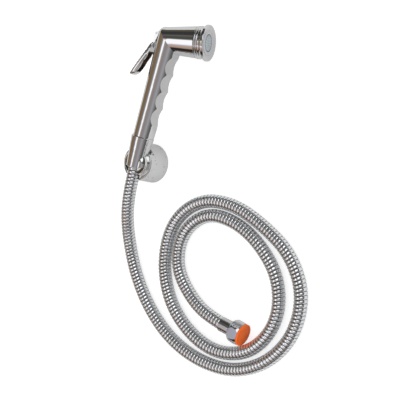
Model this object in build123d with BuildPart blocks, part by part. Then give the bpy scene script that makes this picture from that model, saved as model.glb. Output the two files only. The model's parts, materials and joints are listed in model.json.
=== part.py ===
import os
from math import asin, atan, atan2, cos, degrees, hypot, pi, radians, sin, tan

from build123d import *

os.makedirs("parts", exist_ok=True)

# Handheld bidet shower laid on a table in its wall holder, with its hose in a loose spiral.
# Origin: centre of the holder's back face. +Z leaves the wall, +Y runs up the handle,
# +X points from the handle to the side that the spray head looks to.

# Wall holder
holder_radius = 20.7
base_front_radius = 18.3
base_side_height = 25.8
base_depth = 20.5
ledge_height = 27.0
ledge_radius = 17.5
dome_radius = 14.6
dome_top_radius = 8.0
holder_depth = 35.5
cradle_top = 12.5
mouth_width = 16.4
axis_height = 29.0
seat_clearance = 0.15
hose_way_radius = 9.3
screw_spacing = 16.0
screw_hole_radius = 2.2
screw_head_radius = 4.4
relief_depth = 2.5
relief_rim = 3.0
relief_web = 12.0

# Half inch joints at both ends of the hose
thread_radius = 10.4
thread_clearance = 0.08
washer_radius = 9.2
washer_bore = 5.0
washer_thickness = 2.2
tail_flange = 2.0
tail_bore = 3.2
tail_tube_radius = 4.1
tail_tube_length = 12.0
ferrule_wall = 0.45
ferrule_clearance = 0.05
flange_clearance = 0.2
stack_gap = 0.02
nut_edge = 0.6

# Cone nut on the handset end
cone_top = 28.5
cone_length = 33.5
cone_top_radius = 12.1
cone_bottom_radius = 9.5
cone_thread_depth = 8.5
cone_ferrule_length = 17.5
seam_gap = 0.3

# Handle
handle_bottom_shift = 0.65
handle_bottom_radius = 11.2
handle_top_shift = 2.65
handle_top_radius = 14.0
spigot_length = 8.0
waterway_radius = 4.0
elbow_height = 131.6
elbow_ball_radius = 14.6
elbow_shift = 0.5
lever_flat = 9.6
flat_drop = 12.5

# Finger grip cut into the front of the handle
groove_count = 4
grip_bottom = 43.3
grip_drop = 16.3
ridge_reach_bottom = 10.2
ridge_reach_top = 12.7
groove_depth = 2.9
ridge_round = 1.4
grip_run_out = 14.0

# Spray head barrel, measured along its own axis from the elbow
barrel_tilt = 11.2
head_lift = 1.2
barrel_back_radius = 13.8
barrel_front_radius = 16.4
barrel_length = 33.0
chamber_radius = 11.5
chamber_start = 6.0
barrel_thread_radius = 13.0
barrel_thread_depth = 10.5
seat_lip = 0.6
seat_bore = 5.0

# Nozzle collar, cap and spray disc
collar_gap = 0.1
first_bead_length = 2.2
second_bead_length = 2.6
bead_radius = 16.9
bead_neck_radius = 16.1
collar_wall = 2.0
nipple_length = 2.6
nipple_radius = 14.5
spring_web = 1.6
web_hole_radius = 1.8
web_hole_circle = 7.4
web_hole_count = 6
cap_length = 7.2
cap_neck_radius = 16.6
cap_radius = 18.6
cap_flare_start = 1.6
cap_flare_length = 2.6
cap_rim_round = 1.1
cap_dish = 1.2
cap_window_radius = 12.6
cap_lip = 2.2
disc_thickness = 1.3
disc_face_step = 1.1
disc_centre_radius = 8.0
disc_groove_radius = 9.0
disc_groove_depth = 0.5
spray_hole_radius = 0.55
spray_ring_radii = (2.4, 4.6, 6.6)
spray_ring_counts = (6, 10, 14)

# Push valve behind the spray head
stem_radius = 2.1
stem_clearance = 0.05
gland_radius = 3.7
gland_length = 4.0
gland_sink = 1.4
ring_thickness = 1.2
valve_disc_radius = 7.2
valve_disc_thickness = 2.0
valve_gap = 0.1
stem_flange_radius = 6.2
stem_flange_thickness = 1.3
guide_radius = 1.4
guide_reach = 2.2
spring_radius = 4.4
spring_wire = 0.45
spring_turns = 5

# Trigger lever
pin_radius = 1.2
pin_clearance = 0.05
hinge_rise = 4.0
tongue_radius = 2.1
tongue_width = 5.4
cheek_gap = 0.3
lever_head_radius = 2.4
lever_head_width = 11.0
lever_width = 14.4
lever_thickness = 5.8
lever_edge_round = 2.7
nose_radius = 1.9
nose_width = 5.0
press_angle = 9.0
nose_gap = 0.25
rib_count = 13
rib_pitch = 2.0
rib_radius = 0.75
rib_rise = 0.45
first_rib_drop = 20.6

# Hose and the nut on its supply end
hose_radius = 7.0
lay_height = 7.1
bore_radius = 4.15
end_ferrule_length = 13.6
nut_length = 12.2
nut_back_radius = 10.0
nut_bulge_radius = 12.6
nut_front_radius = 11.6
nut_flat = 11.2
nut_thread_depth = 10.0
plug_flange = 2.0
plug_flange_radius = 11.5
plug_gap = 0.2
plug_thread_length = 5.2
plug_tooth_count = 40
plug_tooth_depth = 0.35

# Points of the hose's route, with the first inside the cone nut and the last in the end ferrule
hose_route = [
    (0, 16.5, axis_height),
    (0, -18, axis_height),
    (0, -54, 23),
    (3.5, -89, 8.5),
    (23.5, -121, lay_height),
    (52.5, -148.5, lay_height),
    (88.5, -168, lay_height),
    (129, -174.5, lay_height),
    (169.5, -168, lay_height),
    (203, -144, lay_height),
    (222, -107, lay_height),
    (219, -65, lay_height),
    (193, -32.5, lay_height),
    (155, -16, lay_height),
    (115, -7, lay_height),
    (75, -15.5, lay_height),
    (49, -49, lay_height),
    (51, -92, lay_height),
    (71.5, -129, lay_height),
    (106, -152, lay_height),
    (147, -158.5, lay_height),
    (184.5, -139.7, lay_height),
    (201, -100, lay_height),
    (188.5, -60, lay_height),
    (156.5, -34.5, lay_height),
    (122, -23, lay_height),
    (87, -26.5, lay_height),
    (64.5, -55, lay_height),
    (68.5, -91, lay_height),
    (95, -115, lay_height),
    (126, -125.5, nut_flat),
    (158.5, -126.8, nut_flat),
]

# Where the handset lies: it is rolled about its handle until the cap's rim is just above the table
tilt = radians(barrel_tilt)
bead_start = barrel_length + collar_gap
bead_end = bead_start + first_bead_length + second_bead_length
cap_start = bead_end + collar_gap
head_reach = cap_start + cap_length - cap_rim_round
head_arm = head_reach + elbow_shift / cos(tilt)
rim_drop = axis_height - head_lift
head_drop = asin(rim_drop / hypot(head_arm, cap_radius)) - atan2(cap_radius, head_arm)
roll = asin(sin(head_drop) / cos(tilt))
print("roll of the handset:", round(degrees(roll), 2), "degrees")

grip = Plane(
    origin=(0, 0, axis_height),
    x_dir=(cos(roll), 0, -sin(roll)),
    z_dir=(sin(roll), 0, cos(roll)),
)
head = Plane(
    origin=grip.from_local_coords((elbow_shift, elbow_height, 0)),
    x_dir=grip.from_local_coords((cos(tilt), sin(tilt), 0)) - grip.origin,
    z_dir=grip.z_dir,
)
joint = Plane(origin=(0, cone_top, axis_height), x_dir=(0, -1, 0), z_dir=(0, 0, 1))


def across(plane, distance):
    """The plane square to the given plane's x axis, that far along it."""
    place = plane.origin + plane.x_dir * distance
    return Plane(origin=place, x_dir=plane.z_dir, z_dir=plane.x_dir)


def ring(plane, start, end, inner, outer, label):
    """A plain turned ring round the plane's x axis."""
    with BuildPart() as piece:
        with BuildSketch(across(plane, start)):
            Circle(outer)
            if inner > 0:
                Circle(inner, mode=Mode.SUBTRACT)
        extrude(amount=end - start)
    piece.part.label = label
    return piece


# The wall holder: a round base with a cradle in front, cut by the cone nut's own seat
cone_slope = (cone_top_radius - cone_bottom_radius) / cone_length


def cone_radius(height):
    """Outer radius of the cone nut at a height along the handle axis."""
    return cone_top_radius - cone_slope * (cone_top - height)


with BuildPart() as holder:
    with BuildSketch(Plane.XZ):
        with BuildLine():
            Polyline((0, holder_depth), (0, 0), (holder_radius, 0), (base_front_radius, base_side_height))
            ThreePointArc(
                (base_front_radius, base_side_height),
                (0.28 * ledge_radius + 0.72 * base_front_radius,
                 0.72 * ledge_height + 0.28 * base_side_height),
                (ledge_radius, ledge_height),
            )
            Line((ledge_radius, ledge_height), (dome_radius, ledge_height))
            ThreePointArc(
                (dome_radius, ledge_height),
                (0.2 * dome_top_radius + 0.8 * dome_radius, 0.65 * holder_depth + 0.35 * ledge_height),
                (dome_top_radius, holder_depth),
            )
            Line((dome_top_radius, holder_depth), (0, holder_depth))
        make_face()
    revolve(axis=Axis.Z)
    # The cradle's top is cut off flat above the base
    with BuildSketch(Plane.XY.offset(base_depth)):
        with Locations((0, cradle_top + holder_radius)):
            Rectangle(3 * holder_radius, 2 * holder_radius)
    extrude(amount=holder_depth, mode=Mode.SUBTRACT)
    # The conical seat, which opens downwards into a plain way for the hose
    way_height = cone_top - (cone_top_radius - hose_way_radius) / cone_slope
    with BuildSketch(Plane(origin=(0, 0, axis_height), x_dir=(1, 0, 0), z_dir=(0, 0, 1))):
        with BuildLine():
            Polyline(
                (0, -2 * holder_radius),
                (hose_way_radius + seat_clearance, -2 * holder_radius),
                (hose_way_radius + seat_clearance, way_height),
                (cone_radius(2 * holder_radius) + seat_clearance, 2 * holder_radius),
                (0, 2 * holder_radius),
                close=True,
            )
        make_face()
    revolve(axis=Axis((0, 0, axis_height), (0, 1, 0)), mode=Mode.SUBTRACT)
    # The mouth between the two prongs, wide enough for the hose
    with BuildSketch(Plane.XY.offset(axis_height)):
        Rectangle(mouth_width, 3 * holder_radius)
    extrude(amount=holder_depth, mode=Mode.SUBTRACT)
    # Two countersunk screw holes in the seat's floor
    for side in (-1, 1):
        screw_height = side * screw_spacing / 2
        floor = axis_height - cone_radius(screw_height) - seat_clearance
        with BuildSketch(Plane(origin=(0, screw_height, 0), x_dir=(1, 0, 0), z_dir=(0, -1, 0))):
            with BuildLine():
                Polyline(
                    (0, -1),
                    (screw_hole_radius, -1),
                    (screw_hole_radius, floor - screw_head_radius + screw_hole_radius),
                    (screw_head_radius, floor),
                    (screw_head_radius, axis_height),
                    (0, axis_height),
                    close=True,
                )
            make_face()
        revolve(axis=Axis((0, screw_height, 0), (0, 0, 1)), mode=Mode.SUBTRACT)
    # The back is relieved round a web that carries both screws
    with BuildSketch(Plane.XY):
        Circle(holder_radius - relief_rim)
        Rectangle(relief_web, 2 * holder_radius, mode=Mode.SUBTRACT)
    extrude(amount=relief_depth, mode=Mode.SUBTRACT)
holder.part.label = "holder"

# The handset's body: handle, mitred elbow, barrel, tongue and spigot cast as one
hinge_back = lever_flat + cheek_gap + lever_head_radius
hinge_height = elbow_height + hinge_rise
seam_height = cone_top + seam_gap
head_line = Axis(head.origin, head.x_dir)
grip_top = elbow_height - grip_drop
groove_pitch = (grip_top - grip_bottom) / groove_count
ridges = [grip_bottom + i * groove_pitch for i in range(groove_count + 1)]
reach_slope = (ridge_reach_top - ridge_reach_bottom) / (grip_top - grip_bottom)


def ridge_reach(height):
    """How far the grip's ridges stand in front of the handle axis."""
    return ridge_reach_bottom + reach_slope * (height - grip_bottom)


def handle_section(height, shift):
    """The plane of the handle's round section at a height."""
    place = grip.from_local_coords((shift, height, 0))
    return Plane(origin=place, x_dir=grip.x_dir, z_dir=(0, 1, 0))


with BuildPart() as elbow_corner:
    with BuildSketch(handle_section(elbow_height, handle_top_shift)):
        Circle(handle_top_radius)
    extrude(amount=2 * elbow_ball_radius)
    with BuildSketch(across(head, 0)):
        Circle(barrel_back_radius)
    extrude(amount=-2 * elbow_ball_radius, mode=Mode.INTERSECT)
    with Locations(head):
        Sphere(elbow_ball_radius, mode=Mode.INTERSECT)

with BuildPart() as handset_body:
    # Handle, which grows towards the elbow on its finger side
    with BuildSketch(handle_section(seam_height, handle_bottom_shift)):
        Circle(handle_bottom_radius)
    with BuildSketch(handle_section(elbow_height, handle_top_shift)):
        Circle(handle_top_radius)
    loft()
    # Finger grooves, cut straight across the front of the handle
    with BuildSketch(grip) as grooves:
        with BuildLine():
            outside = 3 * handle_top_radius
            first, last = ridges[0], ridges[-1]
            above = elbow_height + 1
            run_out = (handle_bottom_shift + handle_bottom_radius + 1, first - grip_run_out)
            Polyline((ridge_reach(first), first), run_out, (outside, first - grip_run_out))
            for low, high in zip(ridges, ridges[1:]):
                middle = (low + high) / 2
                ThreePointArc(
                    (ridge_reach(low), low),
                    (ridge_reach(middle) - groove_depth, middle),
                    (ridge_reach(high), high),
                )
            Polyline(
                (ridge_reach(last), last),
                (ridge_reach(above), above),
                (outside, above),
                (outside, first - grip_run_out),
            )
        make_face()
        crests = grooves.vertices().filter_by(lambda v: v.X < ridge_reach_top + 0.1 and v.Y < last + 1)
        fillet(crests, radius=ridge_round)
    extrude(amount=outside, both=True, mode=Mode.SUBTRACT)
    # Barrel, which widens towards the spray face
    with BuildSketch(head):
        with BuildLine():
            Polyline(
                (0, 0),
                (0, barrel_back_radius),
                (barrel_length, barrel_front_radius),
                (barrel_length, 0),
                close=True,
            )
        make_face()
    revolve(axis=head_line)
    add(elbow_corner.part)
    # Flat behind the elbow, where the lever's head lies, and the hinge tongue on it
    with BuildSketch(grip):
        with Locations((-lever_flat - elbow_ball_radius, elbow_height - flat_drop + elbow_ball_radius)):
            Rectangle(2 * elbow_ball_radius, 2 * elbow_ball_radius)
    extrude(amount=outside, both=True, mode=Mode.SUBTRACT)
    with BuildSketch(grip):
        with Locations((-hinge_back, hinge_height)):
            Circle(tongue_radius)
        with Locations((-(hinge_back + lever_flat) / 2 + 1, hinge_height)):
            Rectangle(hinge_back - lever_flat + 2, 2 * tongue_radius)
    extrude(amount=tongue_width / 2, both=True)
    # Threaded spigot, in line with the cone nut
    with BuildSketch(across(joint, -seam_gap)):
        Circle(thread_radius)
    extrude(amount=spigot_length)
    # Waterway, rear chamber with its seat, front chamber and the collar's thread
    with BuildSketch(across(joint, -seam_gap + spigot_length)):
        Circle(waterway_radius)
    extrude(amount=-(elbow_height - cone_top + spigot_length - seam_gap), mode=Mode.SUBTRACT)
    gland_start = -lever_flat / cos(tilt) + gland_sink
    with BuildSketch(across(head, -2 * elbow_ball_radius)):
        Circle(gland_radius)
    extrude(amount=2 * elbow_ball_radius, mode=Mode.SUBTRACT)
    with BuildSketch(head):
        with BuildLine():
            Polyline(
                (gland_start, 0),
                (gland_start, gland_radius),
                (gland_start + gland_length + ring_thickness, gland_radius),
                (gland_start + gland_length + ring_thickness, seat_bore),
                (chamber_start + seat_lip, seat_bore),
                (chamber_start + seat_lip, seat_bore + seat_lip),
                (chamber_start, seat_bore + 2 * seat_lip),
                (chamber_start, chamber_radius),
                (barrel_length - barrel_thread_depth, chamber_radius),
                (barrel_length - barrel_thread_depth, barrel_thread_radius),
                (barrel_length, barrel_thread_radius),
                (barrel_length, 0),
                close=True,
            )
        make_face()
    revolve(axis=head_line, mode=Mode.SUBTRACT)
    # Hole for the hinge pin, a tight fit in the tongue
    with BuildSketch(grip):
        with Locations((-hinge_back, hinge_height)):
            Circle(pin_radius)
    extrude(amount=outside, both=True, mode=Mode.SUBTRACT)
handset_body.part.label = "handset_body"

# The nozzle collar: threaded sleeve, web for the spring, double bead and nipple
sleeve_start = barrel_length - barrel_thread_depth + collar_gap
sleeve_radius = barrel_thread_radius - thread_clearance
nipple_end = bead_end + nipple_length
with BuildPart() as nozzle_collar:
    with BuildSketch(head):
        with BuildLine():
            bead_middle = bead_start + first_bead_length
            Line((sleeve_start, 0), (sleeve_start, sleeve_radius))
            Line((sleeve_start, sleeve_radius), (bead_start, sleeve_radius))
            Line((bead_start, sleeve_radius), (bead_start, bead_neck_radius))
            ThreePointArc(
                (bead_start, bead_neck_radius),
                ((bead_start + bead_middle) / 2, bead_radius),
                (bead_middle, bead_neck_radius),
            )
            ThreePointArc(
                (bead_middle, bead_neck_radius),
                ((bead_end + bead_middle) / 2, bead_radius),
                (bead_end, bead_neck_radius),
            )
            Line((bead_end, bead_neck_radius), (bead_end, nipple_radius))
            Line((bead_end, nipple_radius), (nipple_end, nipple_radius))
            Line((nipple_end, nipple_radius), (nipple_end, 0))
            Line((nipple_end, 0), (sleeve_start, 0))
        make_face()
    revolve(axis=head_line)
    with BuildSketch(across(head, sleeve_start + spring_web)):
        Circle(sleeve_radius - collar_wall)
    extrude(amount=nipple_end - sleeve_start, mode=Mode.SUBTRACT)
    with BuildSketch(across(head, sleeve_start)):
        Circle(guide_radius + stem_clearance)
        with PolarLocations(web_hole_circle, web_hole_count):
            Circle(web_hole_radius)
    extrude(amount=spring_web, mode=Mode.SUBTRACT)
nozzle_collar.part.label = "nozzle_collar"

# The flared cap: a turned ring whose lip holds the spray disc
cap_end = cap_start + cap_length
lip_start = cap_end - cap_lip
disc_start = lip_start - disc_thickness
with BuildPart() as nozzle_cap:
    with BuildSketch(head):
        with BuildLine():
            Polyline(
                (cap_start, nipple_radius + thread_clearance),
                (cap_start, cap_neck_radius),
                (cap_start + cap_flare_start, cap_neck_radius),
            )
            ThreePointArc(
                (cap_start + cap_flare_start, cap_neck_radius),
                (cap_start + cap_flare_start + 0.6 * cap_flare_length, cap_neck_radius + 0.8),
                (cap_start + cap_flare_start + cap_flare_length, cap_radius),
            )
            Line(
                (cap_start + cap_flare_start + cap_flare_length, cap_radius),
                (cap_end - cap_rim_round, cap_radius),
            )
            ThreePointArc(
                (cap_end - cap_rim_round, cap_radius),
                (cap_end - 0.3 * cap_rim_round, cap_radius - 0.3 * cap_rim_round),
                (cap_end, cap_radius - cap_rim_round),
            )
            Polyline(
                (cap_end, cap_radius - cap_rim_round),
                (cap_end - cap_dish, cap_window_radius),
                (lip_start, cap_window_radius),
                (lip_start, nipple_radius + thread_clearance),
                (cap_start, nipple_radius + thread_clearance),
            )
        make_face()
    revolve(axis=head_line)
nozzle_cap.part.label = "nozzle_cap"

# The spray disc behind the cap's lip, with three rings of fine holes
with BuildPart() as spray_disc:
    with BuildSketch(across(head, disc_start)):
        Circle(nipple_radius - thread_clearance)
    extrude(amount=disc_thickness)
    with BuildSketch(across(head, lip_start)):
        Circle(cap_window_radius - thread_clearance)
    extrude(amount=disc_face_step - cap_dish + cap_lip - 1.0)
    disc_face = disc_start + disc_thickness + disc_face_step - cap_dish + cap_lip - 1.0
    with BuildSketch(across(head, disc_face)):
        Circle(disc_groove_radius)
        Circle(disc_centre_radius, mode=Mode.SUBTRACT)
    extrude(amount=-disc_groove_depth, mode=Mode.SUBTRACT)
    with BuildSketch(across(head, disc_start)):
        for hole_ring, hole_count in zip(spray_ring_radii, spray_ring_counts):
            with PolarLocations(hole_ring, hole_count):
                Circle(spray_hole_radius)
        Circle(spray_hole_radius)
    extrude(amount=cap_length, mode=Mode.SUBTRACT)
spray_disc.part.label = "spray_disc"

# Seal between the collar's nipple and the spray disc
nozzle_seal = ring(head, nipple_end + 0.05, disc_start - 0.05, cap_window_radius - collar_wall,
                   nipple_radius - thread_clearance, "nozzle_seal")

# Push valve: gland nut, O-ring, stem with its flange, rubber disc and spring
gland_end = gland_start + gland_length
gland_nut = ring(head, gland_start, gland_end, stem_radius + stem_clearance,
                 gland_radius - stem_clearance, "gland_nut")
gland_o_ring = ring(head, gland_end + 0.05, gland_end + ring_thickness, stem_radius + stem_clearance,
                    gland_radius - stem_clearance, "gland_o_ring")
disc_back = chamber_start + seat_lip + valve_gap
valve_disc = ring(head, disc_back, disc_back + valve_disc_thickness, stem_radius + stem_clearance,
                  valve_disc_radius, "valve_disc")

# The lever's nose swings on this arm and meets the stem square at half stroke
hinge = grip.from_local_coords((-hinge_back, hinge_height, 0))
hinge_in_head = head.to_local_coords(hinge)
nose_arm = hinge_in_head.Y
half_press = radians(press_angle) / 2
nose_along = hinge_in_head.X - nose_arm * sin(half_press)
nose_across = hinge_in_head.Y - nose_arm * cos(half_press)
stem_tip = nose_along + nose_radius + nose_gap
stem_travel = 2 * nose_arm * sin(half_press)
flange_start = disc_back + valve_disc_thickness + 0.02
spring_start = flange_start + stem_flange_thickness
spring_length = sleeve_start - spring_start
with BuildPart() as valve_stem:
    with BuildSketch(head):
        with BuildLine():
            Polyline(
                (stem_tip, 0),
                (stem_tip, stem_radius - 0.5),
                (stem_tip + 0.5, stem_radius),
                (flange_start, stem_radius),
                (flange_start, stem_flange_radius),
                (spring_start, stem_flange_radius),
                (spring_start, guide_radius),
                (sleeve_start + guide_reach - stem_travel, guide_radius),
                (sleeve_start + guide_reach - stem_travel, 0),
                close=True,
            )
        make_face()
    revolve(axis=head_line)
valve_stem.part.label = "valve_stem"

with BuildPart() as valve_spring:
    with BuildLine():
        coil = Helix(
            pitch=(spring_length - 4 * spring_wire) / spring_turns,
            height=spring_length - 4 * spring_wire,
            radius=spring_radius,
            center=head.origin + head.x_dir * (spring_start + 2 * spring_wire),
            direction=head.x_dir,
        )
    with BuildSketch(Plane(origin=coil @ 0, z_dir=coil % 0)):
        RegularPolygon(spring_wire, 6)
    sweep(path=coil)
valve_spring.part.label = "valve_spring"

# The hinge pin, pressed into the tongue and flush with the lever's cheeks
with BuildPart() as hinge_pin:
    with BuildSketch(grip):
        with Locations((-hinge_back, hinge_height)):
            Circle(pin_radius)
    extrude(amount=lever_head_width / 2, both=True)
hinge_pin.part.label = "hinge_pin"

# The trigger lever: a forked head with a nose for the stem, and a ribbed thumb paddle
lever_back = [
    (-lever_head_radius, 0),
    (-lever_head_radius + 0.1, -4.6),
    (-1.8, -9.6),
    (-4.1, -12.4),
    (-17.9, -45.6),
    (-18.7, -47.0),
    (-18.1, -48.1),
]
lever_front = [
    (-15.2, -48.3),
    (-12.3, -45.5),
    (-8.4, -38.0),
    (-7.0, -32.0),
    (-4.6, -26.8),
    (-2.9, -20.1),
    (-2.6, -17.0),
    (-0.9, -14.4),
    (0.6, -8.2),
    (lever_head_radius - 0.3, -1.2),
    (lever_head_radius - 0.1, 0),
]
lever_outline = [
    (-lever_head_width / 2, lever_head_radius),
    (-lever_head_width / 2, -10.6),
    (-lever_width / 2 + 0.7, -11.6),
    (-lever_width / 2, -35.6),
    (-lever_width / 2 + 0.2, -43.6),
    (-lever_width / 2 + 1.0, -45.9),
    (-lever_width / 2 + 2.6, -48.0),
    (-lever_width / 2 + 4.4, -49.0),
]
lever_head = [
    *lever_back[:4],
    (-6.0, -17.0),
    *lever_front[6:],
]
lever = Plane(origin=hinge, x_dir=grip.x_dir, z_dir=grip.z_dir)
nose = lever.to_local_coords(head.from_local_coords((nose_along, nose_across, 0)))
# The thumb paddle is a bar with rounded edges along the line of its back
paddle_run = Vector(*lever_back[4]) - Vector(*lever_back[3])
paddle_end = lever.from_local_coords(Vector(*lever_back[3]) - paddle_run * 0.1)
paddle_line = lever.from_local_coords(Vector(*lever_back[4])) - paddle_end
with BuildPart() as lever_paddle:
    with BuildSketch(lever):
        with BuildLine():
            Polyline(*lever_back, *lever_front, close=True)
        make_face()
    extrude(amount=lever_width / 2, both=True)
    back_view = Plane(origin=hinge, x_dir=grip.z_dir, z_dir=-grip.x_dir)
    with BuildSketch(back_view):
        with BuildLine():
            mirrored = [(-side, height) for side, height in reversed(lever_outline)]
            Polyline(*lever_outline, *mirrored, close=True)
        make_face()
    extrude(amount=2 * outside, both=True, mode=Mode.INTERSECT)
    paddle_section = Plane(
        origin=paddle_end,
        x_dir=paddle_line.cross(grip.z_dir) * -1,
        z_dir=paddle_line,
    )
    with BuildSketch(paddle_section):
        with Locations((lever_thickness / 2, 0)):
            RectangleRounded(lever_thickness, lever_width, lever_edge_round)
    extrude(amount=1.3 * paddle_line.length, mode=Mode.INTERSECT)

with BuildPart() as trigger_lever:
    with BuildSketch(lever):
        with BuildLine():
            Polyline(*lever_head, close=True)
        make_face()
        Circle(lever_head_radius)
    extrude(amount=lever_head_width / 2, both=True)
    add(lever_paddle.part)
    # Ribs across the thumb plate
    with BuildSketch(lever):
        slope = (lever_back[4][0] - lever_back[3][0]) / (lever_back[4][1] - lever_back[3][1])
        for i in range(rib_count):
            rib_height = -first_rib_drop - i * rib_pitch * cos(atan(slope))
            rib_back = lever_back[3][0] + slope * (rib_height - lever_back[3][1])
            with Locations((rib_back + rib_radius - rib_rise, rib_height)):
                Circle(rib_radius)
    extrude(amount=lever_width / 2 - lever_edge_round + 0.6, both=True)
    # Nose that presses the stem
    with BuildSketch(lever):
        with Locations((nose.X, nose.Y)):
            Circle(nose_radius)
    extrude(amount=nose_width / 2, both=True)
    # Fork for the tongue, and holes for the pin
    with BuildSketch(lever):
        with Locations((0, 5 - tongue_radius - 1)):
            Rectangle(8 * tongue_radius, 10)
    extrude(amount=tongue_width / 2 + cheek_gap, both=True, mode=Mode.SUBTRACT)
    with BuildSketch(lever):
        Circle(pin_radius + pin_clearance)
    extrude(amount=lever_width, both=True, mode=Mode.SUBTRACT)
trigger_lever.part.label = "trigger_lever"

# Stack of the handset end, along the nut's axis from its top
washer_start = spigot_length - seam_gap + stack_gap
tail_start = washer_start + washer_thickness + stack_gap
shoulder = tail_start + tail_flange + stack_gap
hose_start = shoulder
ferrule_bore = hose_radius + ferrule_clearance
ferrule_radius = ferrule_bore + ferrule_wall
with BuildPart() as cone_nut:
    with BuildSketch(joint):
        with BuildLine():
            Polyline(
                (0, ferrule_radius + ferrule_clearance),
                (0, cone_top_radius - nut_edge),
                (nut_edge, cone_top_radius),
                (cone_length - nut_edge, cone_bottom_radius),
                (cone_length, cone_bottom_radius - nut_edge),
                (cone_length, ferrule_radius + ferrule_clearance),
                close=True,
            )
        make_face()
    revolve(axis=Axis(joint.origin, joint.x_dir))
    with BuildSketch(joint):
        with BuildLine():
            Polyline(
                (0, 0),
                (0, thread_radius + thread_clearance),
                (cone_thread_depth, thread_radius + thread_clearance),
                (cone_thread_depth, washer_radius + flange_clearance),
                (shoulder, washer_radius + flange_clearance),
                (shoulder, 0),
                close=True,
            )
        make_face()
    revolve(axis=Axis(joint.origin, joint.x_dir), mode=Mode.SUBTRACT)
cone_nut.part.label = "cone_nut"

handset_end_washer = ring(joint, washer_start, washer_start + washer_thickness, washer_bore,
                          washer_radius, "handset_end_washer")
handset_end_ferrule = ring(joint, shoulder, shoulder + cone_ferrule_length, ferrule_bore,
                           ferrule_radius, "handset_end_ferrule")


def tail(plane, start, direction, label):
    """A flanged tail piece whose tube runs into the hose."""
    with BuildPart() as piece:
        with BuildSketch(across(plane, start)):
            Circle(washer_radius)
        extrude(amount=direction * tail_flange)
        with BuildSketch(across(plane, start + direction * tail_flange)):
            Circle(tail_tube_radius)
        extrude(amount=direction * (tail_tube_length + stack_gap))
        with BuildSketch(across(plane, start)):
            Circle(tail_bore)
        extrude(amount=direction * (tail_flange + tail_tube_length + stack_gap), mode=Mode.SUBTRACT)
    piece.part.label = label
    return piece


handset_end_tail = tail(joint, tail_start, 1, "handset_end_tail")

# The hose: straight runs joined by tangent arcs, from the cone nut to the end ferrule
turn_radii = []
for before, corner, after in zip(hose_route, hose_route[1:], hose_route[2:]):
    run_in = Vector(corner) - Vector(before)
    run_out = Vector(after) - Vector(corner)
    half_turn = radians(run_in.get_angle(run_out)) / 2
    turn_radii.append(0.45 * min(run_in.length, run_out.length) / tan(half_turn))
print("hose radii:", [round(turn) for turn in turn_radii])
with BuildPart() as hose:
    with BuildLine():
        route = FilletPolyline(*hose_route, radius=turn_radii)
    with BuildSketch(Plane(origin=route @ 0, z_dir=route % 0)):
        Circle(hose_radius)
        Circle(bore_radius, mode=Mode.SUBTRACT)
    sweep(path=route)
hose.part.label = "hose"
print("hose length:", round(route.length, 1))
section = pi * (hose_radius ** 2 - bore_radius ** 2)
print("hose volume:", round(hose.part.volume), "section times length:", round(section * route.length))

# Supply end: ferrule, tail, washer, nut and the orange plug, along the hose's last run
end_direction = route % 1
end_shoulder = nut_length - nut_thread_depth
supply = Plane(
    origin=(route @ 1) - end_direction * end_shoulder,
    x_dir=end_direction,
    z_dir=(0, 0, 1),
)
supply_end_ferrule = ring(supply, end_shoulder - end_ferrule_length - end_shoulder, end_shoulder,
                          ferrule_bore, ferrule_radius, "supply_end_ferrule")
supply_end_tail = tail(supply, end_shoulder + stack_gap + tail_flange, -1, "supply_end_tail")
end_washer_start = end_shoulder + stack_gap + tail_flange + stack_gap
supply_end_washer = ring(supply, end_washer_start, end_washer_start + washer_thickness, washer_bore,
                         washer_radius, "supply_end_washer")
with BuildPart() as end_nut:
    with BuildSketch(supply):
        with BuildLine():
            ThreePointArc(
                (0, nut_back_radius),
                (nut_length / 4, (nut_back_radius + nut_bulge_radius) / 2 + 0.9),
                (nut_length / 2, nut_bulge_radius),
            )
            ThreePointArc(
                (nut_length / 2, nut_bulge_radius),
                (3 * nut_length / 4, (nut_front_radius + nut_bulge_radius) / 2 + 0.25),
                (nut_length, nut_front_radius),
            )
            Polyline(
                (nut_length, nut_front_radius),
                (nut_length, ferrule_radius + ferrule_clearance),
                (0, ferrule_radius + ferrule_clearance),
                (0, nut_back_radius),
            )
        make_face()
    revolve(axis=Axis(supply.origin, supply.x_dir))
    with BuildSketch(across(supply, 0)):
        RegularPolygon(nut_flat, 6, major_radius=False, rotation=30)
    extrude(amount=nut_length, mode=Mode.INTERSECT)
    with BuildSketch(across(supply, end_shoulder)):
        Circle(thread_radius + thread_clearance)
    extrude(amount=nut_length, mode=Mode.SUBTRACT)
end_nut.part.label = "end_nut"

with BuildPart() as thread_plug:
    with BuildSketch(across(supply, nut_length + plug_gap)):
        Circle(plug_flange_radius)
        with PolarLocations(plug_flange_radius + plug_tooth_depth / 2, plug_tooth_count):
            Circle(plug_tooth_depth * 1.5, mode=Mode.SUBTRACT)
    extrude(amount=plug_flange)
    with BuildSketch(across(supply, nut_length + plug_gap)):
        Circle(thread_radius)
    extrude(amount=-plug_thread_length)
thread_plug.part.label = "thread_plug"

# Values that the joints use
print("hinge at", [round(value, 3) for value in hinge], "axis", [round(v, 6) for v in grip.z_dir])
print("valve axis", [round(value, 6) for value in head.x_dir], "travel", round(stem_travel, 4))
print("supply nut at", [round(value, 3) for value in supply.origin],
      "axis", [round(value, 6) for value in supply.x_dir])
spring_fixed = head.origin + head.x_dir * sleeve_start
print("spring's fixed end", [round(value, 3) for value in spring_fixed])

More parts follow.
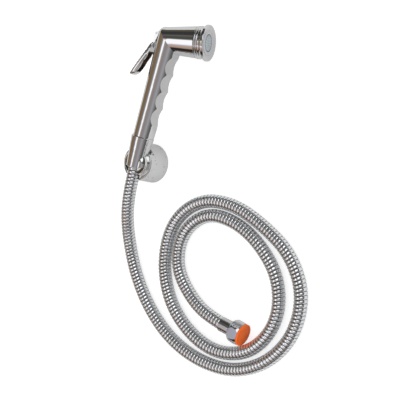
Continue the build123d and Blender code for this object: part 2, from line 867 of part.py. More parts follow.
# One file for each piece
pieces = [
    (holder, "holder"),
    (cone_nut, "cone_nut"),
    (handset_end_washer, "handset_end_washer"),
    (handset_end_tail, "handset_end_tail"),
    (handset_end_ferrule, "handset_end_ferrule"),
    (hose, "hose"),
    (supply_end_ferrule, "supply_end_ferrule"),
    (supply_end_tail, "supply_end_tail"),
    (supply_end_washer, "supply_end_washer"),
    (end_nut, "end_nut"),
    (thread_plug, "thread_plug"),
    (handset_body, "handset_body"),
    (nozzle_collar, "nozzle_collar"),
    (nozzle_cap, "nozzle_cap"),
    (nozzle_seal, "nozzle_seal"),
    (spray_disc, "spray_disc"),
    (trigger_lever, "trigger_lever"),
    (hinge_pin, "hinge_pin"),
    (valve_stem, "valve_stem"),
    (valve_disc, "valve_disc"),
    (valve_spring, "valve_spring"),
    (gland_nut, "gland_nut"),
    (gland_o_ring, "gland_o_ring"),
]
for piece, name in pieces:
    export_step(piece.part, "parts/" + name + ".step")
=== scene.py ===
import json
from bisect import bisect_right
from math import cos, pi, radians, sin

import bmesh
import bpy
from mathutils import Matrix, Vector


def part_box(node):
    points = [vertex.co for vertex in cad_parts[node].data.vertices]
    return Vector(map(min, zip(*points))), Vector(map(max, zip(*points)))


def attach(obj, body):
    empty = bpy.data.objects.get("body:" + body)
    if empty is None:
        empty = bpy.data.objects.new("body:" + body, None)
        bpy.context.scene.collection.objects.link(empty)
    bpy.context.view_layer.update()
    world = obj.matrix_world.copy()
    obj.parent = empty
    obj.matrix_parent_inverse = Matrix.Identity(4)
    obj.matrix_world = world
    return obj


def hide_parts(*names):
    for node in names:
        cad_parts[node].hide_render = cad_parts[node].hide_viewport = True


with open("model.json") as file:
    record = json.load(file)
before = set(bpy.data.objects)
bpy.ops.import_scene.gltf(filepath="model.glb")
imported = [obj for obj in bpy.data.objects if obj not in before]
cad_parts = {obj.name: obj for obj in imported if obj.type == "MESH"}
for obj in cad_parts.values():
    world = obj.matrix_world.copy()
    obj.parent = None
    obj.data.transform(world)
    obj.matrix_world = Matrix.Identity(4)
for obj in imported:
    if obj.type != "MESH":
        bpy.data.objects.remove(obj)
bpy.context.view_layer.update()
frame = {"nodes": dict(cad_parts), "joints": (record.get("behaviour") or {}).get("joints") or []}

# Camera. The set lies on a table and is seen from above, a little from the spray head's side,
# with a long lens and the handle leaning left in the frame.
camera_away = Vector((0.5304, 0.1772, 0.8290)).normalized()
camera_up = Vector((-0.3168, 0.9485, 0.0)).normalized()
camera_right = camera_up.cross(camera_away)
camera_aim = Vector((0.07073, -0.01786, 0.0))
camera_distance = 1.1
camera_data = bpy.data.cameras.new("camera")
camera_data.sensor_width = 36.0
camera_data.lens = 95.2
camera = bpy.data.objects.new("camera", camera_data)
bpy.context.scene.collection.objects.link(camera)
camera_place = Matrix.Translation(camera_aim + camera_away * camera_distance)
camera_turn = Matrix((camera_right, camera_up, camera_away)).transposed()
camera.matrix_world = camera_place @ camera_turn.to_4x4()
bpy.context.scene.camera = camera
bpy.context.scene.view_settings.view_transform = "Standard"

# Hose. A rubber core inside a cover of bright steel strip, wound as one long helix of rounded
# ribs, with painted shade darkening the seam between them. It leaves the cone nut, drops to the
# table and lies there in a loose spiral of two turns with its free end inside.
hose_points = [
    (0.0, 0.0165, 0.0290),
    (0.0, -0.0180, 0.0290),
    (0.0, -0.0540, 0.0230),
    (0.0035, -0.0890, 0.0085),
    (0.0235, -0.1210, 0.0071),
    (0.0525, -0.1485, 0.0071),
    (0.0885, -0.1680, 0.0071),
    (0.1290, -0.1745, 0.0071),
    (0.1695, -0.1680, 0.0071),
    (0.2030, -0.1440, 0.0071),
    (0.2220, -0.1070, 0.0071),
    (0.2190, -0.0650, 0.0071),
    (0.1930, -0.0325, 0.0071),
    (0.1550, -0.0160, 0.0071),
    (0.1150, -0.0070, 0.0071),
    (0.0750, -0.0155, 0.0071),
    (0.0490, -0.0490, 0.0071),
    (0.0510, -0.0920, 0.0071),
    (0.0715, -0.1290, 0.0071),
    (0.1060, -0.1520, 0.0071),
    (0.1470, -0.1585, 0.0071),
    (0.1845, -0.1397, 0.0071),
    (0.2010, -0.1000, 0.0071),
    (0.1885, -0.0600, 0.0071),
    (0.1565, -0.0345, 0.0071),
    (0.1220, -0.0230, 0.0071),
    (0.0870, -0.0265, 0.0071),
    (0.0645, -0.0550, 0.0071),
    (0.0685, -0.0910, 0.0071),
    (0.0950, -0.1150, 0.0071),
    (0.1260, -0.1255, 0.0112),
    (0.1585, -0.1268, 0.0112),
]
hose_radius = 0.0070
hose_groove = 0.00095
rib_pitch = 0.0037
rib_rings = 10
rib_roundness = 4
hose_sides = 24

hose_curve = bpy.data.curves.new("hose_route", "CURVE")
hose_curve.dimensions = "3D"
hose_curve.resolution_u = 24
hose_spline = hose_curve.splines.new("NURBS")
hose_spline.points.add(len(hose_points) - 1)
for point, place in zip(hose_spline.points, hose_points):
    point.co = (*place, 1.0)
hose_spline.order_u = 3
hose_spline.use_endpoint_u = True
hose_route = bpy.data.objects.new("hose_route", hose_curve)
hose_line = bpy.data.meshes.new_from_object(hose_route)
hose_path = [vertex.co.copy() for vertex in hose_line.vertices]
bpy.data.objects.remove(hose_route)
bpy.data.meshes.remove(hose_line)

hose_marks = [0.0]
for start, end in zip(hose_path, hose_path[1:]):
    hose_marks.append(hose_marks[-1] + (end - start).length)
hose_length = hose_marks[-1]
rib_count = round(hose_length / rib_pitch)
ring_count = rib_count * rib_rings


def hose_frame(distance):
    """Centre and the two cross directions of the hose at a distance along it."""
    i = min(max(bisect_right(hose_marks, distance) - 1, 0), len(hose_path) - 2)
    run = hose_path[i + 1] - hose_path[i]
    centre = hose_path[i] + run * ((distance - hose_marks[i]) / run.length)
    low = hose_path[max(i - 1, 0)]
    high = hose_path[min(i + 2, len(hose_path) - 1)]
    along = (high - low).normalized()
    across = along.cross(Vector((0, 0, 1))).normalized()
    return centre, across, across.cross(along)


hose_mesh = bmesh.new()
hose_mesh.loops.layers.uv.new("UVMap")
bmesh.ops.create_grid(
    hose_mesh, x_segments=ring_count, y_segments=hose_sides, size=0.5, calc_uvs=True
)
hose_frames = [hose_frame(hose_length * ring / ring_count) for ring in range(ring_count + 1)]
for vertex in hose_mesh.verts:
    ring = round((vertex.co.x + 0.5) * ring_count)
    turn = 2 * pi * (vertex.co.y + 0.5)
    phase = 2 * ((ring / rib_rings + vertex.co.y + 0.5) % 1) - 1
    radius = hose_radius - hose_groove * phase ** rib_roundness
    centre, across, upward = hose_frames[ring]
    vertex.co = centre + across * (radius * cos(turn)) + upward * (radius * sin(turn))
bmesh.ops.remove_doubles(hose_mesh, verts=hose_mesh.verts, dist=0.000001)
open_edges = [edge for edge in hose_mesh.edges if edge.is_boundary]
bmesh.ops.holes_fill(hose_mesh, edges=open_edges, sides=0)
bmesh.ops.recalc_face_normals(hose_mesh, faces=hose_mesh.faces)
for face in hose_mesh.faces:
    face.smooth = True
hose_data = bpy.data.meshes.new("hose_cover")
hose_mesh.to_mesh(hose_data)
hose_mesh.free()
hose_cover = bpy.data.objects.new("hose_cover", hose_data)
bpy.context.scene.collection.objects.link(hose_cover)

strip_steel = bpy.data.materials.new("wound_strip_steel")
strip_steel.use_nodes = True
nodes = strip_steel.node_tree.nodes
links = strip_steel.node_tree.links
shader = nodes["Principled BSDF"]
shader.inputs["Metallic"].default_value = 0.92
coordinates = nodes.new("ShaderNodeTexCoord")
split = nodes.new("ShaderNodeSeparateXYZ")
links.new(coordinates.outputs["UV"], split.inputs[0])
rib_phase = nodes.new("ShaderNodeMath")
rib_phase.operation = "MULTIPLY_ADD"
rib_phase.inputs[1].default_value = rib_count
links.new(split.outputs["X"], rib_phase.inputs[0])
links.new(split.outputs["Y"], rib_phase.inputs[2])
rib_wave = nodes.new("ShaderNodeMath")
rib_wave.operation = "PINGPONG"
rib_wave.inputs[1].default_value = 0.5
links.new(rib_phase.outputs[0], rib_wave.inputs[0])
# Painted shade: the ramp darkens the base colour in the seams between the ribs and keeps the
# ribs light.
groove_painted_shade = nodes.new("ShaderNodeValToRGB")
groove_painted_shade.color_ramp.elements[0].position = 0.04
groove_painted_shade.color_ramp.elements[0].color = (0.09, 0.10, 0.11, 1)
groove_painted_shade.color_ramp.elements[1].position = 0.14
groove_painted_shade.color_ramp.elements[1].color = (0.96, 0.98, 1.0, 1)
links.new(rib_wave.outputs[0], groove_painted_shade.inputs[0])
links.new(groove_painted_shade.outputs[0], shader.inputs["Base Color"])
smudges = nodes.new("ShaderNodeTexNoise")
smudges.inputs["Scale"].default_value = 60.0
smudges.inputs["Detail"].default_value = 3.0
links.new(coordinates.outputs["Object"], smudges.inputs["Vector"])
smudge_range = nodes.new("ShaderNodeMapRange")
smudge_range.inputs["To Min"].default_value = 0.07
smudge_range.inputs["To Max"].default_value = 0.17
links.new(smudges.outputs[0], smudge_range.inputs["Value"])
links.new(smudge_range.outputs[0], shader.inputs["Roughness"])
hose_data.materials.append(strip_steel)

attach(hose_cover, "handset")
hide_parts("hose")

# Ferrules. Plain drawn steel sleeves pressed over both ends of the hose cover. They have fine
# drawing lines along them and a duller shine than the plated parts.
ripple = bpy.data.node_groups.new("surface_ripple", "ShaderNodeTree")
ripple.interface.new_socket(name="Scale", in_out="INPUT", socket_type="NodeSocketFloat")
ripple.interface.new_socket(name="Height", in_out="INPUT", socket_type="NodeSocketFloat")
ripple.interface.new_socket(name="Normal", in_out="OUTPUT", socket_type="NodeSocketVector")
ripple_in = ripple.nodes.new("NodeGroupInput")
ripple_out = ripple.nodes.new("NodeGroupOutput")
ripple_place = ripple.nodes.new("ShaderNodeTexCoord")
ripple_noise = ripple.nodes.new("ShaderNodeTexNoise")
ripple_noise.inputs["Detail"].default_value = 2.0
ripple_bump = ripple.nodes.new("ShaderNodeBump")
ripple_bump.inputs["Distance"].default_value = 0.001
ripple.links.new(ripple_place.outputs["Object"], ripple_noise.inputs["Vector"])
ripple.links.new(ripple_in.outputs["Scale"], ripple_noise.inputs["Scale"])
ripple.links.new(ripple_in.outputs["Height"], ripple_bump.inputs["Strength"])
ripple.links.new(ripple_noise.outputs[0], ripple_bump.inputs["Height"])
ripple.links.new(ripple_bump.outputs[0], ripple_out.inputs["Normal"])


def finish_metal(name, colour, roughness, scale, height):
    """A bare or plated metal whose surface has a slight ripple."""
    metal = bpy.data.materials.new(name)
    metal.use_nodes = True
    metal_nodes = metal.node_tree.nodes
    metal_shader = metal_nodes["Principled BSDF"]
    metal_shader.inputs["Base Color"].default_value = (*colour, 1)
    metal_shader.inputs["Metallic"].default_value = 1.0
    metal_shader.inputs["Roughness"].default_value = roughness
    metal_ripple = metal_nodes.new("ShaderNodeGroup")
    metal_ripple.node_tree = ripple
    metal_ripple.inputs["Scale"].default_value = scale
    metal_ripple.inputs["Height"].default_value = height
    metal.node_tree.links.new(metal_ripple.outputs[0], metal_shader.inputs["Normal"])
    return metal


def paint(node, material):
    """Gives a node of the frame its finish."""
    for material_slot in frame["nodes"][node].material_slots:
        material_slot.material = material


drawn_steel = finish_metal(
    "drawn_steel", (0.70, 0.70, 0.70), roughness=0.16, scale=300.0, height=0.02
)
for ferrule in ("handset_end_ferrule", "supply_end_ferrule"):
    paint(ferrule, drawn_steel)

# Tails, washers and valve. Turned brass tails with a flange, held in each nut against a flat
# black rubber washer. The valve's rod and its gland nut are the same brass, and its seals the
# same rubber. All of them lie inside the nuts and the handset.
turned_brass = finish_metal(
    "turned_brass", (0.80, 0.60, 0.28), roughness=0.22, scale=500.0, height=0.05
)
for tail in ("handset_end_tail", "supply_end_tail", "gland_nut", "valve_stem"):
    paint(tail, turned_brass)

mottle = bpy.data.node_groups.new("colour_mottle", "ShaderNodeTree")
for socket, kind in (
    ("Scale", "NodeSocketFloat"),
    ("Low", "NodeSocketFloat"),
    ("High", "NodeSocketFloat"),
    ("Dark", "NodeSocketColor"),
    ("Light", "NodeSocketColor"),
):
    mottle.interface.new_socket(name=socket, in_out="INPUT", socket_type=kind)
mottle.interface.new_socket(name="Colour", in_out="OUTPUT", socket_type="NodeSocketColor")
mottle_in = mottle.nodes.new("NodeGroupInput")
mottle_out = mottle.nodes.new("NodeGroupOutput")
mottle_place = mottle.nodes.new("ShaderNodeTexCoord")
mottle_noise = mottle.nodes.new("ShaderNodeTexNoise")
mottle_share = mottle.nodes.new("ShaderNodeMapRange")
mottle_mix = mottle.nodes.new("ShaderNodeMix")
mottle_mix.data_type = "RGBA"
mottle.links.new(mottle_place.outputs["Object"], mottle_noise.inputs["Vector"])
mottle.links.new(mottle_in.outputs["Scale"], mottle_noise.inputs["Scale"])
mottle.links.new(mottle_noise.outputs[0], mottle_share.inputs["Value"])
mottle.links.new(mottle_in.outputs["Low"], mottle_share.inputs["From Min"])
mottle.links.new(mottle_in.outputs["High"], mottle_share.inputs["From Max"])
mottle.links.new(mottle_share.outputs[0], mottle_mix.inputs[0])
mottle.links.new(mottle_in.outputs["Dark"], mottle_mix.inputs[6])
mottle.links.new(mottle_in.outputs["Light"], mottle_mix.inputs[7])
mottle.links.new(mottle_mix.outputs[2], mottle_out.inputs["Colour"])


def mottled_material(name, scale, dark, light, low=0.0, high=1.0):
    """A material whose base colour drifts between two shades over the surface."""
    stuff = bpy.data.materials.new(name)
    stuff.use_nodes = True
    stuff_mottle = stuff.node_tree.nodes.new("ShaderNodeGroup")
    stuff_mottle.node_tree = mottle
    stuff_mottle.inputs["Scale"].default_value = scale
    stuff_mottle.inputs["Low"].default_value = low
    stuff_mottle.inputs["High"].default_value = high
    stuff_mottle.inputs["Dark"].default_value = (*dark, 1)
    stuff_mottle.inputs["Light"].default_value = (*light, 1)
    stuff_shader = stuff.node_tree.nodes["Principled BSDF"]
    stuff.node_tree.links.new(stuff_mottle.outputs[0], stuff_shader.inputs["Base Color"])
    return stuff


black_rubber = mottled_material(
    "black_rubber", scale=900.0, dark=(0.018, 0.018, 0.018), light=(0.045, 0.045, 0.044)
)
shader = black_rubber.node_tree.nodes["Principled BSDF"]
shader.inputs["Roughness"].default_value = 0.62
for seal in (
    "handset_end_washer", "supply_end_washer", "nozzle_seal", "valve_disc", "gland_o_ring"
):
    paint(seal, black_rubber)

# Plated castings. The nuts, the handset and its cap are brass or zinc with bright chrome
# plate, polished by hand, so reflections waver a little. The hinge pin and the valve's spring
# are bare bright steel.
chrome_colour = (0.80, 0.80, 0.81)
chrome = finish_metal("chrome_plate", chrome_colour, roughness=0.035, scale=55.0, height=0.04)
for plated in ("end_nut", "handset_body", "nozzle_collar", "nozzle_cap", "trigger_lever"):
    paint(plated, chrome)
cone_chrome = finish_metal(
    "cone_chrome", chrome_colour, roughness=0.045, scale=240.0, height=0.12
)
paint("cone_nut", cone_chrome)
bright_steel = finish_metal(
    "bright_steel", (0.66, 0.66, 0.67), roughness=0.14, scale=400.0, height=0.03
)
for small in ("hinge_pin", "valve_spring"):
    paint(small, bright_steel)

# Trigger lever. A plated casting, cored out from the side that faces the handle to save metal.
# The pocket has round corners; its inside is painted dark as painted shade, with a brownish
# painted reflection.
joint_facts = {joint["name"]: joint for joint in frame["joints"]}
hinge_point = Vector(joint_facts["trigger_press"]["pos_m"])
lever_width_way = Vector(joint_facts["trigger_press"]["axis"])
lever_length_way = Vector((-0.374568, -0.923, 0.084587)).normalized()
lever_front_way = lever_width_way.cross(lever_length_way).normalized()
pocket_length = 0.0245
pocket_width = 0.0098
pocket_depth = 0.0090
pocket_start = 0.0205
pocket_floor = 0.0036
pocket_corner = 0.0018
pocket_margin = 0.00001

lever_mesh = bmesh.new()
lever_mesh.from_mesh(frame["nodes"]["trigger_lever"].data)
bmesh.ops.remove_doubles(lever_mesh, verts=lever_mesh.verts, dist=0.000002)
lever_data = bpy.data.meshes.new("lever_shell")
lever_mesh.to_mesh(lever_data)
lever_mesh.free()
lever_shell = bpy.data.objects.new("lever_shell", lever_data)
bpy.context.scene.collection.objects.link(lever_shell)

pocket_mesh = bmesh.new()
bmesh.ops.create_cube(pocket_mesh, size=1.0)
bmesh.ops.scale(
    pocket_mesh, vec=(pocket_length, pocket_width, pocket_depth), verts=pocket_mesh.verts
)
bmesh.ops.bevel(
    pocket_mesh,
    geom=pocket_mesh.edges[:],
    offset=pocket_corner,
    segments=3,
    profile=0.5,
    affect="EDGES",
    material=-1,
)
pocket_centre = (
    hinge_point
    + lever_length_way * (pocket_start + pocket_length / 2)
    + lever_front_way * (pocket_floor + pocket_depth / 2)
)
pocket_turn = Matrix((lever_length_way, lever_width_way, lever_front_way)).transposed()
bmesh.ops.transform(
    pocket_mesh,
    matrix=Matrix.Translation(pocket_centre) @ pocket_turn.to_4x4(),
    verts=pocket_mesh.verts,
)
bmesh.ops.recalc_face_normals(pocket_mesh, faces=pocket_mesh.faces)
pocket_data = bpy.data.meshes.new("lever_pocket")
pocket_mesh.to_mesh(pocket_data)
pocket_mesh.free()
pocket = bpy.data.objects.new("lever_pocket", pocket_data)
bpy.context.scene.collection.objects.link(pocket)
pocket_cut = lever_shell.modifiers.new("pocket", "BOOLEAN")
pocket_cut.operation = "DIFFERENCE"
pocket_cut.solver = "EXACT"
pocket_cut.object = pocket
lever_cut = bpy.data.meshes.new_from_object(
    lever_shell.evaluated_get(bpy.context.evaluated_depsgraph_get())
)
lever_shell.modifiers.clear()
lever_shell.data = lever_cut
bpy.data.objects.remove(pocket)
bpy.data.meshes.remove(lever_data)

# Painted shade for the pocket's inside: a dark metal mottled with a brownish painted reflection.
pocket_painted_shade = mottled_material(
    "pocket_painted_shade",
    scale=160.0,
    dark=(0.03, 0.025, 0.02),
    light=(0.16, 0.09, 0.05),
    low=0.40,
    high=0.65,
)
shader = pocket_painted_shade.node_tree.nodes["Principled BSDF"]
shader.inputs["Metallic"].default_value = 1.0
shader.inputs["Roughness"].default_value = 0.30
lever_cut.materials.clear()
lever_cut.materials.append(chrome)
lever_cut.materials.append(pocket_painted_shade)
# Faces inside the pocket get the painted shade; the rest stays chrome.
for face in lever_cut.polygons:
    place = Vector(face.center) - hinge_point
    along = place.dot(lever_length_way) - pocket_start
    inside = (
        abs(place.dot(lever_width_way)) < pocket_width / 2 + pocket_margin
        and -pocket_margin < along < pocket_length + pocket_margin
        and pocket_floor - pocket_margin < place.dot(lever_front_way)
    )
    face.material_index = 1 if inside else 0
    face.use_smooth = True
lever_cut.set_sharp_from_angle(angle=radians(34.4))
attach(lever_shell, "trigger")
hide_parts("trigger_lever")

# Wall holder. One zinc casting, with a half-open seat for the cone nut, under the same chrome
# plate. A few fine pits in the casting show through it on the wide side.
holder_colour = (0.83, 0.84, 0.83)
holder_chrome = finish_metal(
    "holder_chrome", holder_colour, roughness=0.05, scale=55.0, height=0.04
)
nodes = holder_chrome.node_tree.nodes
links = holder_chrome.node_tree.links
pit_place = nodes.new("ShaderNodeTexCoord")
pit_cells = nodes.new("ShaderNodeTexVoronoi")
pit_cells.inputs["Scale"].default_value = 420.0
links.new(pit_place.outputs["Object"], pit_cells.inputs["Vector"])
pit_size = nodes.new("ShaderNodeMapRange")
pit_size.inputs["From Min"].default_value = 0.14
pit_size.inputs["From Max"].default_value = 0.34
pit_size.inputs["To Min"].default_value = 1.0
pit_size.inputs["To Max"].default_value = 0.0
links.new(pit_cells.outputs["Distance"], pit_size.inputs["Value"])
pit_pick = nodes.new("ShaderNodeTexNoise")
pit_pick.inputs["Scale"].default_value = 130.0
links.new(pit_place.outputs["Object"], pit_pick.inputs["Vector"])
pit_few = nodes.new("ShaderNodeMapRange")
pit_few.inputs["From Min"].default_value = 0.52
pit_few.inputs["From Max"].default_value = 0.60
links.new(pit_pick.outputs[0], pit_few.inputs["Value"])
pit_mask = nodes.new("ShaderNodeMath")
pit_mask.operation = "MULTIPLY"
links.new(pit_size.outputs[0], pit_mask.inputs[0])
links.new(pit_few.outputs[0], pit_mask.inputs[1])
pit_colour = nodes.new("ShaderNodeMix")
pit_colour.data_type = "RGBA"
pit_colour.inputs[6].default_value = (*holder_colour, 1)
pit_colour.inputs[7].default_value = (0.20, 0.22, 0.24, 1)
links.new(pit_mask.outputs[0], pit_colour.inputs[0])
links.new(pit_colour.outputs[2], nodes["Principled BSDF"].inputs["Base Color"])
paint("holder", holder_chrome)

# Spray disc. A moulded grey plastic plate behind the cap's lip, with rings of fine holes and a
# groove round its middle painted dark as painted shade. The cap clamps it on the nozzle's seal.
plate_plastic = bpy.data.materials.new("grey_plastic")
plate_plastic.use_nodes = True
nodes = plate_plastic.node_tree.nodes
links = plate_plastic.node_tree.links
shader = nodes["Principled BSDF"]
shader.inputs["Roughness"].default_value = 0.32
disc_low, disc_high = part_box("spray_disc")
disc_ramp_mm = 16
disc_face = (0.50, 0.56, 0.60)
disc_groove_shade = (0.10, 0.11, 0.12)
disc_rim = (0.60, 0.61, 0.62)
disc_place = nodes.new("ShaderNodeTexCoord")
disc_offset = nodes.new("ShaderNodeVectorMath")
disc_offset.operation = "SUBTRACT"
disc_offset.inputs[1].default_value = (Vector(disc_low) + Vector(disc_high)) / 2
links.new(disc_place.outputs["Object"], disc_offset.inputs[0])
disc_across = nodes.new("ShaderNodeVectorMath")
disc_across.operation = "CROSS_PRODUCT"
disc_across.inputs[1].default_value = joint_facts["valve_push"]["axis"]
links.new(disc_offset.outputs[0], disc_across.inputs[0])
disc_radius = nodes.new("ShaderNodeVectorMath")
disc_radius.operation = "LENGTH"
links.new(disc_across.outputs[0], disc_radius.inputs[0])
disc_share = nodes.new("ShaderNodeMapRange")
disc_share.inputs["From Max"].default_value = disc_ramp_mm / 1000
links.new(disc_radius.outputs["Value"], disc_share.inputs["Value"])
disc_colour = nodes.new("ShaderNodeValToRGB")
disc_stops = disc_colour.color_ramp.elements
disc_stops[0].color = (*disc_face, 1)
disc_stops[1].color = (*disc_rim, 1)
# The dark ring is painted shade for the groove round the disc's middle.
for radius_mm, colour in (
    (7.9, disc_face),
    (8.1, disc_groove_shade),
    (8.9, disc_groove_shade),
    (9.2, disc_rim),
):
    disc_stops.new(radius_mm / disc_ramp_mm).color = (*colour, 1)
links.new(disc_share.outputs[0], disc_colour.inputs[0])
links.new(disc_colour.outputs[0], shader.inputs["Base Color"])
plate_ripple = nodes.new("ShaderNodeGroup")
plate_ripple.node_tree = ripple
plate_ripple.inputs["Scale"].default_value = 400.0
plate_ripple.inputs["Height"].default_value = 0.08
links.new(plate_ripple.outputs[0], shader.inputs["Normal"])
paint("spray_disc", plate_plastic)

# Transit plug. A moulded orange plastic plug with fine grip teeth, turned into the end nut to
# keep its thread clean until it is fitted.
plug_plastic = mottled_material(
    "orange_plastic", scale=250.0, dark=(0.90, 0.13, 0.012), light=(0.98, 0.20, 0.025)
)
shader = plug_plastic.node_tree.nodes["Principled BSDF"]
shader.inputs["Roughness"].default_value = 0.42
shader.inputs["Specular IOR Level"].default_value = 0.3
paint("thread_plug", plug_plastic)

# Table, backdrop and light. A plain white table under soft light from all round, with the
# darker parts of the room as broad bands that only polished metal shows.
table_data = bpy.data.meshes.new("table")
table_mesh = bmesh.new()
bmesh.ops.create_grid(table_mesh, x_segments=1, y_segments=1, size=3.0)
table_mesh.to_mesh(table_data)
table_mesh.free()
table = bpy.data.objects.new("table", table_data)
table.location = (0.07, -0.02, -0.0005)
bpy.context.scene.collection.objects.link(table)
table_paint = bpy.data.materials.new("white_table")
table_paint.use_nodes = True
nodes = table_paint.node_tree.nodes
links = table_paint.node_tree.links
shader = nodes["Principled BSDF"]
shader.inputs["Base Color"].default_value = (0.55, 0.55, 0.55, 1)
shader.inputs["Roughness"].default_value = 1.0
shader.inputs["Specular IOR Level"].default_value = 0.0
shader.inputs["Emission Color"].default_value = (1, 1, 1, 1)
table_light = nodes.new("ShaderNodeLightPath")
table_seen = nodes.new("ShaderNodeMath")
table_seen.operation = "MULTIPLY"
table_seen.inputs[1].default_value = 0.68
links.new(table_light.outputs["Is Camera Ray"], table_seen.inputs[0])
table_mirrored = nodes.new("ShaderNodeMath")
table_mirrored.operation = "MULTIPLY_ADD"
table_mirrored.inputs[1].default_value = 0.15
links.new(table_light.outputs["Is Glossy Ray"], table_mirrored.inputs[0])
links.new(table_seen.outputs[0], table_mirrored.inputs[2])
links.new(table_mirrored.outputs[0], shader.inputs["Emission Strength"])
table_data.materials.append(table_paint)

end_limits = ((0.0, 0.06), (-0.38, -0.48))
window_way = (0.32, 0.557, 0.766)
dark_corner = (("X", 0.02, 0.10), ("Y", -0.36, -0.44))
room = bpy.data.worlds.new("room")
bpy.context.scene.world = room
room.use_nodes = True
nodes = room.node_tree.nodes
links = room.node_tree.links
background = nodes["Background"]
room_place = nodes.new("ShaderNodeTexCoord")
room_split = nodes.new("ShaderNodeSeparateXYZ")
links.new(room_place.outputs["Generated"], room_split.inputs[0])
side_bands = [
    (-180, (0.60, 0.60, 0.60)),
    (-96, (0.55, 0.55, 0.54)),
    (-90, (0.26, 0.25, 0.23)),
    (-80, (0.22, 0.16, 0.10)),
    (-56, (0.24, 0.15, 0.07)),
    (-44, (0.21, 0.18, 0.15)),
    (-31, (0.30, 0.28, 0.28)),
    (-27, (0.56, 0.58, 0.72)),
    (-24, (1.15, 1.15, 1.20)),
    (-12, (1.25, 1.25, 1.22)),
    (-8, (0.46, 0.41, 0.36)),
    (0, (0.34, 0.30, 0.28)),
    (9, (0.28, 0.25, 0.25)),
    (24, (0.32, 0.30, 0.31)),
    (40, (0.40, 0.39, 0.41)),
    (56, (0.26, 0.26, 0.26)),
    (70, (0.14, 0.14, 0.13)),
    (88, (0.12, 0.12, 0.12)),
    (96, (0.60, 0.60, 0.60)),
    (180, (0.60, 0.60, 0.60)),
]
end_bands = [
    (-180, (0.60, 0.60, 0.60)),
    (-98, (0.55, 0.55, 0.55)),
    (-90, (0.36, 0.30, 0.25)),
    (-80, (0.10, 0.08, 0.06)),
    (-76, (0.02, 0.02, 0.02)),
    (-60, (0.03, 0.03, 0.03)),
    (-56, (0.45, 0.30, 0.22)),
    (-42, (0.60, 0.42, 0.34)),
    (-38, (0.52, 0.48, 0.48)),
    (-34, (0.56, 0.57, 0.64)),
    (-30, (1.10, 1.12, 1.20)),
    (-17, (0.60, 0.62, 0.70)),
    (-13, (1.20, 1.20, 1.25)),
    (-3, (1.25, 1.25, 1.25)),
    (2, (0.45, 0.42, 0.40)),
    (10, (0.07, 0.07, 0.06)),
    (24, (0.09, 0.09, 0.08)),
    (32, (0.15, 0.14, 0.13)),
    (40, (0.05, 0.05, 0.05)),
    (62, (0.04, 0.04, 0.04)),
    (74, (0.10, 0.09, 0.06)),
    (88, (0.09, 0.08, 0.06)),
    (98, (0.50, 0.50, 0.50)),
    (180, (0.60, 0.60, 0.60)),
]
room_looks = []
for axis, bands in (("X", side_bands), ("Y", end_bands)):
    room_angle = nodes.new("ShaderNodeMath")
    room_angle.operation = "ARCTAN2"
    links.new(room_split.outputs[axis], room_angle.inputs[0])
    links.new(room_split.outputs["Z"], room_angle.inputs[1])
    room_turn = nodes.new("ShaderNodeMapRange")
    room_turn.inputs["From Min"].default_value = -pi
    room_turn.inputs["From Max"].default_value = pi
    links.new(room_angle.outputs[0], room_turn.inputs["Value"])
    room_bands = nodes.new("ShaderNodeValToRGB")
    stops = room_bands.color_ramp.elements
    stops[0].color = (*bands[0][1], 1)
    stops[1].color = (*bands[-1][1], 1)
    for angle, colour in bands[1:-1]:
        stop = stops.new((angle + 180) / 360)
        stop.color = (*colour, 1)
    links.new(room_turn.outputs[0], room_bands.inputs[0])
    room_looks.append(room_bands.outputs[0])
room_share = nodes.new("ShaderNodeMath")
room_share.operation = "MAXIMUM"
for side, (inner, outer) in enumerate(end_limits):
    room_end = nodes.new("ShaderNodeMapRange")
    room_end.inputs["From Min"].default_value = inner
    room_end.inputs["From Max"].default_value = outer
    links.new(room_split.outputs["Y"], room_end.inputs["Value"])
    links.new(room_end.outputs[0], room_share.inputs[side])
room_whole = nodes.new("ShaderNodeMix")
room_whole.data_type = "RGBA"
links.new(room_share.outputs[0], room_whole.inputs[0])
links.new(room_looks[0], room_whole.inputs[6])
links.new(room_looks[1], room_whole.inputs[7])
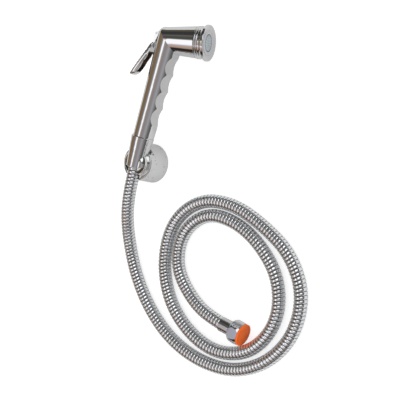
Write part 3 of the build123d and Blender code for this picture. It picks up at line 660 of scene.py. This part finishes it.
room_window = nodes.new("ShaderNodeVectorMath")
room_window.operation = "DOT_PRODUCT"
room_window.inputs[1].default_value = window_way
links.new(room_place.outputs["Generated"], room_window.inputs[0])
room_pane = nodes.new("ShaderNodeMapRange")
room_pane.inputs["From Min"].default_value = 0.90
room_pane.inputs["From Max"].default_value = 0.95
links.new(room_window.outputs["Value"], room_pane.inputs["Value"])
room_lit = nodes.new("ShaderNodeMix")
room_lit.data_type = "RGBA"
room_lit.inputs[7].default_value = (1.25, 1.27, 1.32, 1)
links.new(room_pane.outputs[0], room_lit.inputs[0])
links.new(room_whole.outputs[2], room_lit.inputs[6])
room_corner = nodes.new("ShaderNodeMath")
room_corner.operation = "MULTIPLY"
for side, (axis, inner, outer) in enumerate(dark_corner):
    room_end = nodes.new("ShaderNodeMapRange")
    room_end.inputs["From Min"].default_value = inner
    room_end.inputs["From Max"].default_value = outer
    links.new(room_split.outputs[axis], room_end.inputs["Value"])
    links.new(room_end.outputs[0], room_corner.inputs[side])
room_dark = nodes.new("ShaderNodeMapRange")
room_dark.inputs["From Min"].default_value = 0.80
room_dark.inputs["From Max"].default_value = 0.60
links.new(room_split.outputs["Z"], room_dark.inputs["Value"])
room_depth = nodes.new("ShaderNodeMath")
room_depth.operation = "MULTIPLY"
links.new(room_corner.outputs[0], room_depth.inputs[0])
links.new(room_dark.outputs[0], room_depth.inputs[1])
room_shaded = nodes.new("ShaderNodeMix")
room_shaded.data_type = "RGBA"
room_shaded.inputs[7].default_value = (0.07, 0.05, 0.035, 1)
links.new(room_depth.outputs[0], room_shaded.inputs[0])
links.new(room_lit.outputs[2], room_shaded.inputs[6])
room_rays = nodes.new("ShaderNodeLightPath")
room_mix = nodes.new("ShaderNodeMix")
room_mix.data_type = "RGBA"
room_mix.inputs[6].default_value = (1.05, 1.05, 1.05, 1)
links.new(room_rays.outputs["Is Glossy Ray"], room_mix.inputs[0])
links.new(room_shaded.outputs[2], room_mix.inputs[7])
links.new(room_mix.outputs[2], background.inputs["Color"])
